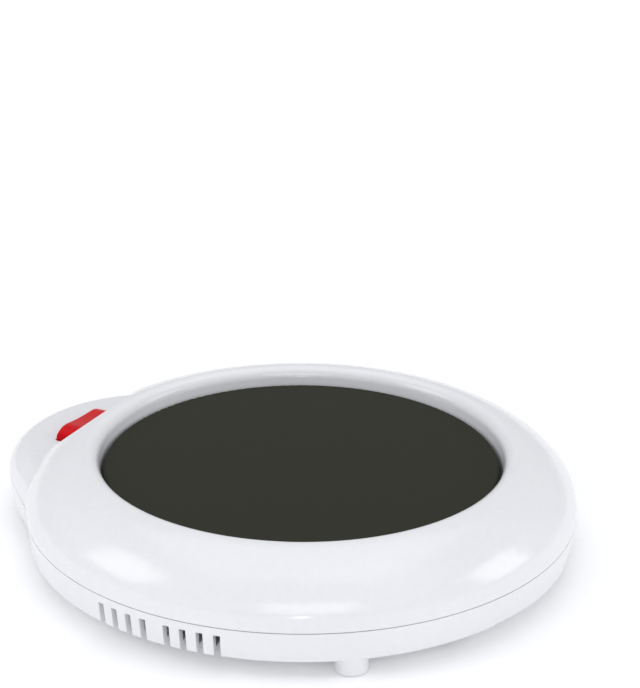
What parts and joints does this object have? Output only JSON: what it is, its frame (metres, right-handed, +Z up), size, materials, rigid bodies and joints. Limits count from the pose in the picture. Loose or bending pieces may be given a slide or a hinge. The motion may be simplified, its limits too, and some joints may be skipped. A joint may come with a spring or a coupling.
{
  "type": "electric mug warmer",
  "caption": "Round electric mug warmer: glossy white two-part case with a sunk dark heating plate, a rear bulge with a red rocker switch, side vents and short round feet.",
  "frame": {"origin": "bottom centre of the whole outline, in the plane that the feet stand on; the round body's axis is at y = -5.2 mm", "axes": "+Z up, +Y towards the bulge with the switch at the back, -Y the plain front, +X to the right seen from the front"},
  "size_m": [0.1232, 0.1336, 0.024],
  "materials": {
    "white_abs": "glossy",
    "white_silicone": "matte",
    "zinc_steel": "satin",
    "dark_coating": "matte",
    "grey_silicone": "matte",
    "galvanised_steel": "satin",
    "mica": "satin",
    "nichrome": "satin",
    "ceramic_fibre": "matte",
    "fuse_shell": "satin",
    "glass_sleeve": "matte",
    "black_nylon": "matte",
    "red_lens": "glossy",
    "brass": "satin",
    "spring_steel": "satin",
    "lamp_glass": "clear",
    "resistor_body": "satin",
    "steatite": "satin",
    "red_lead": "satin",
    "black_lead": "satin",
    "white_lead": "satin"
  },
  "bodies": {
    "case": {"backing_plate": "galvanised_steel", "base_pan": "white_abs", "block_screws": "zinc_steel", "case_screws": "zinc_steel", "clip_screw": "zinc_steel", "fibre_pad": "ceramic_fibre", "foot_pads": "white_silicone", "fuse_clip": "galvanised_steel", "fuse_lead": "white_lead", "fuse_sleeve": "glass_sleeve", "heater_core": "mica", "heater_winding": "nichrome", "heating_plate": "dark_coating", "lamp_resistor": "resistor_body", "load_lead": "red_lead", "mica_lower": "mica", "mica_upper": "mica", "neon_lamp": "lamp_glass", "plate_gasket": "grey_silicone", "retaining_ring": "galvanised_steel", "return_lead": "white_lead", "ring_screws": "zinc_steel", "stud_nuts": "zinc_steel", "stud_washers": "zinc_steel", "supply_lead": "black_lead", "switch_housing": "black_nylon", "terminal_block": "steatite", "terminal_common": "brass", "terminal_lamp": "brass", "terminal_load": "brass", "thermal_fuse": "fuse_shell", "top_cover": "white_abs"},
    "rocker": {"rocker_button": "red_lens", "plunger_spring": "spring_steel"},
    "plunger": {"plunger": "brass"},
    "seesaw": {"seesaw_contact": "brass"}
  },
  "joints": [
    {"name": "rocker_tilt", "type": "hinge", "parent": "case", "child": "rocker", "pos_m": [0, 0.0508, 0.0142], "axis": [0, -1, 0], "range_deg": [0, 8]},
    {"name": "seesaw_tilt", "type": "hinge", "parent": "case", "child": "seesaw", "pos_m": [0, 0.0508, 0.009], "axis": [0, -1, 0], "range_deg": [-8, 0]},
    {"name": "plunger_slide", "type": "slide", "parent": "rocker", "child": "plunger", "axis": [0.0698, 0, 0.9976], "range_m": [0, 0.0006], "stiffness_N_per_m": 300, "springref_m": -0.0005, "deforming": ["plunger_spring"]}
  ],
  "couplings": [
    {"joint": "seesaw_tilt", "follows": "rocker_tilt", "ratio": -1}
  ]
}
